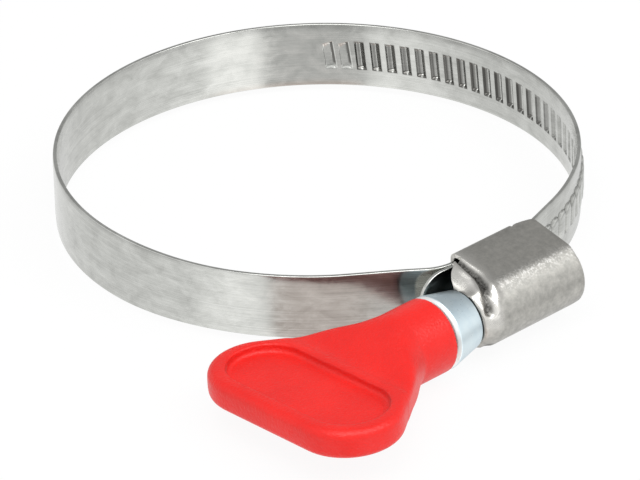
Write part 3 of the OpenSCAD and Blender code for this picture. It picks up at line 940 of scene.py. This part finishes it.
def make_key():
    piece = make_piece("key", *join_parts([wing_part(), neck_part()]))
    melt = piece.modifiers.new("melt", "REMESH")
    melt.mode, melt.voxel_size = "VOXEL", VOXEL
    cutters = []
    for side in (1, -1):
        cutter = make_piece("cutter", *recess_part(side))
        cut = piece.modifiers.new("recess", "BOOLEAN")
        cut.operation, cut.solver, cut.object = "DIFFERENCE", "EXACT", cutter
        cutters.append(cutter)
    again = piece.modifiers.new("melt_again", "REMESH")
    again.mode, again.voxel_size = "VOXEL", VOXEL
    soften = piece.modifiers.new("soften", "SMOOTH")
    soften.factor, soften.iterations = 0.5, 9
    mesh = keep_modifiers(piece)
    for cutter in cutters:
        bpy.data.objects.remove(cutter)
    mesh.transform(Matrix.Translation((0, -AXIS_DEPTH, 0))
                   @ Matrix.Rotation(math.radians(KEY_TURN_DEG), 4, "X"))
    return piece


key = make_key()
print("key has", len(key.data.vertices), "points")

# %% [markdown]
# ## Helpers for materials
#
# Colours are written as the hex values that a colour picker shows. Shaders work
# in linear light, so one function turns them. Another adds a node, with its
# settings and with values or links for its inputs, and a third sets the stops of
# a colour ramp. A pattern's scale is how many of its marks fit in a metre, so a
# count per millimetre is divided by MM.

# %% Material helpers
def linear(hex_colour):
    parts = [int(hex_colour[i:i + 2], 16) / 255 for i in (1, 3, 5)]
    return tuple(c / 12.92 if c <= 0.04045 else ((c + 0.055) / 1.055) ** 2.4
                 for c in parts) + (1.0,)


def add(tree, kind, inputs=None, **settings):
    node = tree.nodes.new(kind)
    for name, value in settings.items():
        setattr(node, name, value)
    for name, value in (inputs or {}).items():
        if isinstance(value, bpy.types.NodeSocket):
            tree.links.new(value, node.inputs[name])
        else:
            node.inputs[name].default_value = value
    return node


def ramp_stops(ramp, stops):
    """Gives a colour ramp its stops, each of a position and a grey level or a hex colour."""
    while len(ramp.elements) < len(stops):
        ramp.elements.new(0.5)
    for element, (position, level) in zip(ramp.elements, stops):
        element.position = position
        element.color = linear(level) if isinstance(level, str) else (level, level, level, 1)


def seen_again(tree, colour, dull_hex):
    """The colour that a piece has where other metal mirrors it.

    What lies between two pieces gets less light than this plain studio gives
    it, so it is mirrored in a duller colour.
    """
    mirrored = add(tree, "ShaderNodeLightPath").outputs["Is Glossy Ray"]
    return add(tree, "ShaderNodeMix", {0: mirrored, 6: colour, 7: linear(dull_hex)},
               data_type="RGBA").outputs[2]


def start_material(name):
    material = bpy.data.materials.new(name)
    material.use_nodes = True
    material.node_tree.nodes.clear()
    return material, material.node_tree


print("mid grey #808080 is", round(linear("#808080")[0], 3), "in linear light")

# %% [markdown]
# ## Stainless steel strip
#
# The strip is ferritic stainless steel, rolled bright and slit to width. Rolling
# leaves hair-fine lines along its length, and handling leaves faint cloudy
# patches, so the colour and the roughness both vary, stretched along the strip.
# The map made with the strip gives millimetres along and across it.

# %% Stainless steel strip
def rolled_stainless():
    material, tree = start_material("rolled_stainless_steel")
    place = add(tree, "ShaderNodeUVMap", uv_map="strip_mm").outputs["UV"]
    # Rolling lines are a few hundredths of a millimetre wide. They are drawn
    # about 0.15 mm wide and 40 mm long, so that they show.
    along = add(tree, "ShaderNodeMapping", {"Vector": place, "Scale": (0.025, 6.0, 1)})
    lines = add(tree, "ShaderNodeTexNoise", {"Vector": along.outputs[0], "Scale": 1.0,
                                             "Detail": 3.0, "Roughness": 0.6})
    # Cloudy patches some 4 mm long, with wisps down to half a millimetre
    cloud_map = add(tree, "ShaderNodeMapping", {"Vector": place, "Scale": (0.24, 0.42, 1)})
    clouds = add(tree, "ShaderNodeTexNoise", {"Vector": cloud_map.outputs[0], "Scale": 1.0,
                                              "Detail": 5.0, "Roughness": 0.66,
                                              "Distortion": 0.45})
    marks = add(tree, "ShaderNodeMix", {0: 0.62, 2: lines.outputs["Fac"],
                                        3: clouds.outputs["Fac"]})
    tone = add(tree, "ShaderNodeValToRGB", {"Fac": marks.outputs[0]})
    ramp_stops(tone.color_ramp, [(0.36, "#B1B2AE"), (0.64, "#D8D9D5")])
    # Painted shade in the teeth's hollows and round their ribs darkens the steel
    tooth_shade = add(tree, "ShaderNodeAttribute", attribute_name="tooth_shade").outputs["Fac"]
    colour = add(tree, "ShaderNodeMix", {0: tooth_shade, 6: tone.outputs["Color"],
                                         7: linear("#646360")}, data_type="RGBA")
    rough = add(tree, "ShaderNodeMapRange", {"Value": marks.outputs[0], "From Min": 0.36,
                                             "From Max": 0.64, "To Min": 0.11, "To Max": 0.26})
    bump = add(tree, "ShaderNodeBump", {"Height": lines.outputs["Fac"], "Strength": 0.12,
                                        "Distance": 0.03 * MM})
    steel = add(tree, "ShaderNodeBsdfPrincipled", {
        "Base Color": colour.outputs[2], "Metallic": 1.0,
        "Roughness": rough.outputs[0], "Normal": bump.outputs[0]})
    add(tree, "ShaderNodeOutputMaterial", {"Surface": steel.outputs[0]})
    return material


strip_steel = rolled_stainless()
print("made", strip_steel.name)

# %% [markdown]
# ## Pressed steel of the housing
#
# The housing is pressed from the same steel, but drawing it round the screw leaves it duller, with
# a mottled, slightly rough skin. Its ridges get a painted highlight of small bright flecks, the
# metal beside the grooves is burnished and also gets a painted highlight, and the grooves are
# painted dark as shade. The values stored on its points say where each of these is.

# %% Pressed steel
def pressed_steel():
    material, tree = start_material("pressed_stainless_steel")
    place = add(tree, "ShaderNodeTexCoord").outputs["Object"]
    # Pressing mottles the sheet in patches of about 1 mm. Its grain is finer than
    # 0.05 mm, and is drawn at 0.2 mm to show.
    mottle = add(tree, "ShaderNodeTexNoise", {"Vector": place, "Scale": 0.9 / MM,
                                              "Detail": 6.0, "Roughness": 0.7})
    grain = add(tree, "ShaderNodeTexNoise", {"Vector": place, "Scale": 5.2 / MM,
                                             "Detail": 2.0, "Roughness": 0.6})
    tone = add(tree, "ShaderNodeValToRGB", {"Fac": mottle.outputs["Fac"]})
    ramp_stops(tone.color_ramp, [(0.35, "#A3A29D"), (0.68, "#C1BFB9")])
    groove_shade, burnish_and_sheen, painted_ridge_glint = (
        add(tree, "ShaderNodeAttribute", attribute_name=name).outputs["Fac"]
        for name in ("groove_shade", "burnish_and_sheen", "painted_ridge_glint"))
    # Painted highlight along the ridge, in bright flecks of about 0.4 mm
    flecks = add(tree, "ShaderNodeTexNoise", {"Vector": place, "Scale": 2.6 / MM,
                                              "Detail": 3.0, "Roughness": 0.6})
    ridge_glint_flecks = add(tree, "ShaderNodeMapRange", {"Value": flecks.outputs["Fac"], "From Min": 0.46,
                                              "From Max": 0.64, "To Max": 0.8})
    bright = add(tree, "ShaderNodeMath", {0: ridge_glint_flecks.outputs[0], 1: painted_ridge_glint}, operation="MULTIPLY")
    ridge_glint_colour = add(tree, "ShaderNodeMix", {0: bright.outputs[0], 6: tone.outputs["Color"],
                                       7: linear("#F4F3EF")}, data_type="RGBA")
    # Burnished metal, brightened as a painted highlight
    polish_and_sheen_colour = add(tree, "ShaderNodeMix", {0: burnish_and_sheen, 6: ridge_glint_colour.outputs[2],
                                           7: linear("#E4E2DD")}, data_type="RGBA")
    # The painted shade in the groove is patchy, in the same fleck size
    patchy = add(tree, "ShaderNodeMapRange", {"Value": flecks.outputs["Fac"], "From Min": 0.40,
                                              "From Max": 0.62, "To Min": 1.0, "To Max": 0.82})
    patchy_groove_shade = add(tree, "ShaderNodeMath", {0: patchy.outputs[0], 1: groove_shade}, operation="MULTIPLY")
    colour = add(tree, "ShaderNodeMix", {0: patchy_groove_shade.outputs[0], 6: polish_and_sheen_colour.outputs[2],
                                         7: linear("#33322F")}, data_type="RGBA")
    rough = add(tree, "ShaderNodeMapRange", {"Value": mottle.outputs["Fac"], "From Min": 0.3,
                                             "From Max": 0.7, "To Min": 0.42, "To Max": 0.30})
    smooth = add(tree, "ShaderNodeMapRange", {"Value": mottle.outputs["Fac"], "From Min": 0.35,
                                              "From Max": 0.65, "To Min": 0.26, "To Max": 0.12})
    clean = add(tree, "ShaderNodeMix", {0: burnish_and_sheen, 2: rough.outputs[0], 3: smooth.outputs[0]})
    finish = add(tree, "ShaderNodeMix", {0: groove_shade, 2: clean.outputs[0], 3: 0.5})
    bump = add(tree, "ShaderNodeBump", {"Height": grain.outputs["Fac"], "Strength": 0.3,
                                        "Distance": 0.04 * MM})
    steel = add(tree, "ShaderNodeBsdfPrincipled", {
        "Base Color": seen_again(tree, colour.outputs[2], "#6E6C69"), "Metallic": 1.0,
        "Roughness": finish.outputs[0], "Normal": bump.outputs[0]})
    add(tree, "ShaderNodeOutputMaterial", {"Surface": steel.outputs[0]})
    return material


housing_steel = pressed_steel()
print("made", housing_steel.name)

# %% [markdown]
# ## Zinc-plated steel of the screw
#
# The screw is carbon steel, turned, rolled and then electroplated with zinc
# under a clear blue passivate. The plating is smooth with a cool, watery tint
# that drifts a little over the surface.

# %% Zinc plating
def zinc_plating():
    material, tree = start_material("blue_zinc_plated_steel")
    place = add(tree, "ShaderNodeTexCoord").outputs["Object"]
    # The tint drifts over about 4 mm
    drift = add(tree, "ShaderNodeTexNoise", {"Vector": place, "Scale": 0.26 / MM,
                                             "Detail": 3.0, "Roughness": 0.5})
    tone = add(tree, "ShaderNodeValToRGB", {"Fac": drift.outputs["Fac"]})
    ramp_stops(tone.color_ramp, [(0.35, "#D0E2EB"), (0.65, "#E2F0F5")])
    # Painted highlight: the turned edge next to the key is brightened
    along = add(tree, "ShaderNodeSeparateXYZ", {0: place}).outputs["X"]
    edge = add(tree, "ShaderNodeMapRange", {"Value": along, "From Min": (RING_END - 0.10) * MM,
                                            "From Max": (RING_END - 0.25) * MM})
    colour = add(tree, "ShaderNodeMix", {0: edge.outputs[0], 6: tone.outputs["Color"],
                                         7: linear("#FAFDFD")}, data_type="RGBA")
    # Crystals of zinc, a few thousandths of a millimetre, are drawn at 0.3 mm
    fine = add(tree, "ShaderNodeTexNoise", {"Vector": place, "Scale": 3 / MM, "Detail": 3.0})
    rough = add(tree, "ShaderNodeMapRange", {"Value": fine.outputs["Fac"], "From Min": 0.3,
                                             "From Max": 0.7, "To Min": 0.27, "To Max": 0.39})
    bump = add(tree, "ShaderNodeBump", {"Height": drift.outputs["Fac"], "Strength": 0.15,
                                        "Distance": 0.10 * MM})
    steel = add(tree, "ShaderNodeBsdfPrincipled", {
        "Base Color": seen_again(tree, colour.outputs[2], "#8D999E"), "Metallic": 1.0,
        "Roughness": rough.outputs[0], "Normal": bump.outputs[0]})
    add(tree, "ShaderNodeOutputMaterial", {"Surface": steel.outputs[0]})
    return material


screw_zinc = zinc_plating()
print("made", screw_zinc.name)

# %% [markdown]
# ## Moulded plastic of the key
#
# The key is polyamide, coloured right through and injection moulded in a
# spark-eroded tool, which gives it an even fine grain and a satin look. The
# colour drifts very slightly, as it does in a moulding this thick.

# %% Moulded plastic
def moulded_polyamide():
    material, tree = start_material("moulded_polyamide")
    place = add(tree, "ShaderNodeTexCoord").outputs["Object"]
    # The colour drifts over about 8 mm
    drift = add(tree, "ShaderNodeTexNoise", {"Vector": place, "Scale": 0.12 / MM, "Detail": 2.0})
    tone = add(tree, "ShaderNodeValToRGB", {"Fac": drift.outputs["Fac"]})
    ramp_stops(tone.color_ramp, [(0.3, "#E4140B"), (0.7, "#EE190F")])
    # Spark erosion leaves pits of about 0.05 mm, drawn at 0.4 mm to show
    grain = add(tree, "ShaderNodeTexNoise", {"Vector": place, "Scale": 2.4 / MM,
                                             "Detail": 2.0, "Roughness": 0.55})
    rough = add(tree, "ShaderNodeMapRange", {"Value": grain.outputs["Fac"], "From Min": 0.3,
                                             "From Max": 0.7, "To Min": 0.30, "To Max": 0.42})
    bump = add(tree, "ShaderNodeBump", {"Height": grain.outputs["Fac"], "Strength": 0.8,
                                        "Distance": 0.14 * MM})
    plastic = add(tree, "ShaderNodeBsdfPrincipled", {
        "Base Color": seen_again(tree, tone.outputs["Color"], "#966966"),
        "Roughness": rough.outputs[0], "Normal": bump.outputs[0],
        "IOR": 1.53, "Specular IOR Level": 0.42})
    add(tree, "ShaderNodeOutputMaterial", {"Surface": plastic.outputs[0]})
    return material


key_plastic = moulded_polyamide()
print("made", key_plastic.name)

# %% [markdown]
# ## The pieces in place
#
# Each piece stands for the CAD node of the same place, which it hides, rides on that node's body
# and takes the finish made for it above. The strip and the housing stay with the hose. The screw
# and the key turn.

# %% Pieces in place
place_piece(strip, "band", "clamp", strip_steel, 50)
place_piece(shell, "housing", "clamp", housing_steel, 50)
place_piece(screw, "worm_screw", "screw", screw_zinc, 40)
place_piece(key, "wing_key", "screw", key_plastic, 60)

# %% [markdown]
# ## The studio that metal mirrors
#
# Polished steel shows mostly what is round it. So the world gives metal a simple
# studio to mirror: pale grey walls with one brighter panel on the key's side, a
# darker line below the horizon, and a ceiling that falls off to the back.

# %% Mirrored studio
# Levels by azimuth, from -180 to 180 degrees, halved so that 0.5 is white
WALL_LEVELS = [
    (0.0, 0.63), (0.064, 0.62), (0.074, 0.39), (0.19, 0.40), (0.206, 0.78), (0.266, 0.75),
    (0.282, 0.55), (0.31, 0.56), (0.35, 0.52), (0.42, 0.49), (0.50, 0.44), (0.56, 0.45),
    (0.605, 0.38), (0.635, 0.48), (0.66, 0.50), (0.74, 0.455), (0.89, 0.47), (0.93, 0.50),
    (0.965, 0.48), (0.985, 0.61)]
CARD_COLOURS = [(0.066, "#FFFFFF"), (0.076, "#FFF1EC"), (0.188, "#FFF1EC"), (0.2, "#FFFAF8"),
                (0.264, "#FFFAF8"), (0.28, "#FFFFFF")]
HORIZON_LEVELS = [(0.0, 1.0), (0.35, 0.68), (0.65, 0.68), (1.0, 1.0)]
BEHIND = (0.5909, 0.6448, 0.485)  # the way up and back, behind the clamp


def mirrored_studio(tree):
    """Colour and strength of the world where metal mirrors it."""
    way = add(tree, "ShaderNodeTexCoord").outputs["Generated"]
    parts = add(tree, "ShaderNodeSeparateXYZ", {0: way})
    angle = add(tree, "ShaderNodeMath", {0: parts.outputs["Y"], 1: parts.outputs["X"]},
                operation="ARCTAN2")
    round_by = add(tree, "ShaderNodeMapRange", {"Value": angle.outputs[0], "From Min": -math.pi,
                                                "From Max": math.pi})
    low = add(tree, "ShaderNodeValToRGB", {"Fac": round_by.outputs[0]})
    ramp_stops(low.color_ramp, WALL_LEVELS)
    # A warm card lies low on the key's side of the camera
    card = add(tree, "ShaderNodeValToRGB", {"Fac": round_by.outputs[0]})
    ramp_stops(card.color_ramp, CARD_COLOURS)
    low_down = add(tree, "ShaderNodeMapRange", {"Value": parts.outputs["Z"], "From Min": -0.52,
                                                "From Max": -0.60})
    tint = add(tree, "ShaderNodeMix", {0: low_down.outputs[0], 6: (1, 1, 1, 1),
                                       7: card.outputs["Color"]}, data_type="RGBA")
    # The ceiling falls off to the back
    back = add(tree, "ShaderNodeVectorMath", {0: way, 1: BEHIND}, operation="DOT_PRODUCT")
    high = add(tree, "ShaderNodeMapRange", {"Value": back.outputs["Value"], "From Min": 0.2,
                                            "From Max": 0.9, "To Min": 0.55, "To Max": 0.22})
    upper = add(tree, "ShaderNodeMapRange", {"Value": parts.outputs["Z"], "From Min": -0.15,
                                             "From Max": 0.2})
    level = add(tree, "ShaderNodeMix", {0: upper.outputs[0], 2: low.outputs["Color"],
                                        3: high.outputs[0]})
    doubled = add(tree, "ShaderNodeMath", {0: level.outputs[0], 1: 2.0}, operation="MULTIPLY")
    # A darker line a little below the horizon, where the studio's floor ends
    height = add(tree, "ShaderNodeMapRange", {"Value": parts.outputs["Z"], "From Min": -0.46,
                                              "From Max": -0.10})
    horizon = add(tree, "ShaderNodeValToRGB", {"Fac": height.outputs[0]})
    ramp_stops(horizon.color_ramp, HORIZON_LEVELS)
    strength = add(tree, "ShaderNodeMath", {0: doubled.outputs[0], 1: horizon.outputs["Color"]},
                   operation="MULTIPLY")
    return tint.outputs[2], strength.outputs[0]


print("studio walls have", len(WALL_LEVELS), "stops, the brightest",
      2 * max(level for _, level in WALL_LEVELS), "times white")

# %% [markdown]
# ## World
#
# Light Path says what kind of ray meets the world. A camera ray finds plain
# white, a ray that metal mirrors finds the studio, and all others find an even
# soft light, at a level at which colours render about as they are written.

# %% World
AMBIENT = 0.68


def make_world():
    world = bpy.data.worlds.new("studio")
    scene.world = world
    world.use_nodes = True
    tree = world.node_tree
    tree.nodes.clear()
    colour, strength = mirrored_studio(tree)
    path = add(tree, "ShaderNodeLightPath")
    seen, mirrored, ambient = (
        add(tree, "ShaderNodeBackground", {"Color": colour, "Strength": strength}).outputs[0]
        for colour, strength in (((1, 1, 1, 1), 1.0), (colour, strength), ((1, 1, 1, 1), AMBIENT)))
    gloss = add(tree, "ShaderNodeMixShader", {0: path.outputs["Is Glossy Ray"],
                                              1: ambient, 2: mirrored})
    view = add(tree, "ShaderNodeMixShader", {0: path.outputs["Is Camera Ray"],
                                             1: gloss.outputs[0], 2: seen})
    add(tree, "ShaderNodeOutputWorld", {"Surface": view.outputs[0]})


make_world()
print("studio has", len(scene.world.node_tree.nodes), "nodes")

# %% [markdown]
# ## Softboxes
#
# Two soft area lights above the clamp, one on each side of the camera, give the
# key and the housing their broad highlights and the floor its soft shadow.

# %% Softboxes
def softbox(name, azimuth, elevation, distance, size, power):
    data = bpy.data.lights.new(name, "AREA")
    data.shape, data.size, data.size_y, data.energy = "RECTANGLE", size[0], size[1], power
    lamp = bpy.data.objects.new(name, data)
    a, e = math.radians(azimuth), math.radians(elevation)
    way = Vector((math.sin(a) * math.cos(e), -math.cos(a) * math.cos(e), math.sin(e)))
    lamp.location = way * distance
    lamp.rotation_euler = way.to_track_quat("Z", "Y").to_euler()
    scene.collection.objects.link(lamp)
    print(name, "of", power, "W at", [round(c, 2) for c in lamp.location])


softbox("softbox_top", -50, 66, 0.9, (0.6, 0.6), 3.2)
softbox("softbox_right", 20, 48, 1.0, (0.5, 0.5), 2.4)

# %% [markdown]
# ## Floor
#
# The floor is pale paper, just under the housing. To the camera it is lifted
# nearly to white, but keeps the clamp's soft shadow. It is left out of what the
# metal reflects, so that the studio's lower half shows there.

# %% Floor
FLOOR_HALF, FLOOR_Z, LIFT = 3.0, -0.00728, 0.93


def make_floor():
    corners = [(x, y, FLOOR_Z) for x, y in (
        (-FLOOR_HALF, -FLOOR_HALF), (FLOOR_HALF, -FLOOR_HALF),
        (FLOOR_HALF, FLOOR_HALF), (-FLOOR_HALF, FLOOR_HALF))]
    mesh = bpy.data.meshes.new("floor")
    mesh.from_pydata(corners, [], [(0, 1, 2, 3)])
    floor = bpy.data.objects.new("floor", mesh)
    scene.collection.objects.link(floor)
    material, tree = start_material("white_paper")
    path = add(tree, "ShaderNodeLightPath")
    paper = add(tree, "ShaderNodeBsdfDiffuse", {"Color": linear("#F7F7F7")})
    white = add(tree, "ShaderNodeEmission", {"Color": (1, 1, 1, 1), "Strength": 1.0})
    lift = add(tree, "ShaderNodeMath", {0: path.outputs["Is Camera Ray"], 1: LIFT},
               operation="MULTIPLY")
    seen = add(tree, "ShaderNodeMixShader", {0: lift.outputs[0], 1: paper.outputs[0],
                                             2: white.outputs[0]})
    through = add(tree, "ShaderNodeBsdfTransparent")
    surface = add(tree, "ShaderNodeMixShader", {0: path.outputs["Is Glossy Ray"],
                                                1: seen.outputs[0], 2: through.outputs[0]})
    add(tree, "ShaderNodeOutputMaterial", {"Surface": surface.outputs[0]})
    mesh.materials.append(material)
    print("floor at", FLOOR_Z)


make_floor()

# %% [markdown]
# ## Look
#
# Colours are shown as they are.

# %% Look
scene.view_settings.view_transform = "Standard"
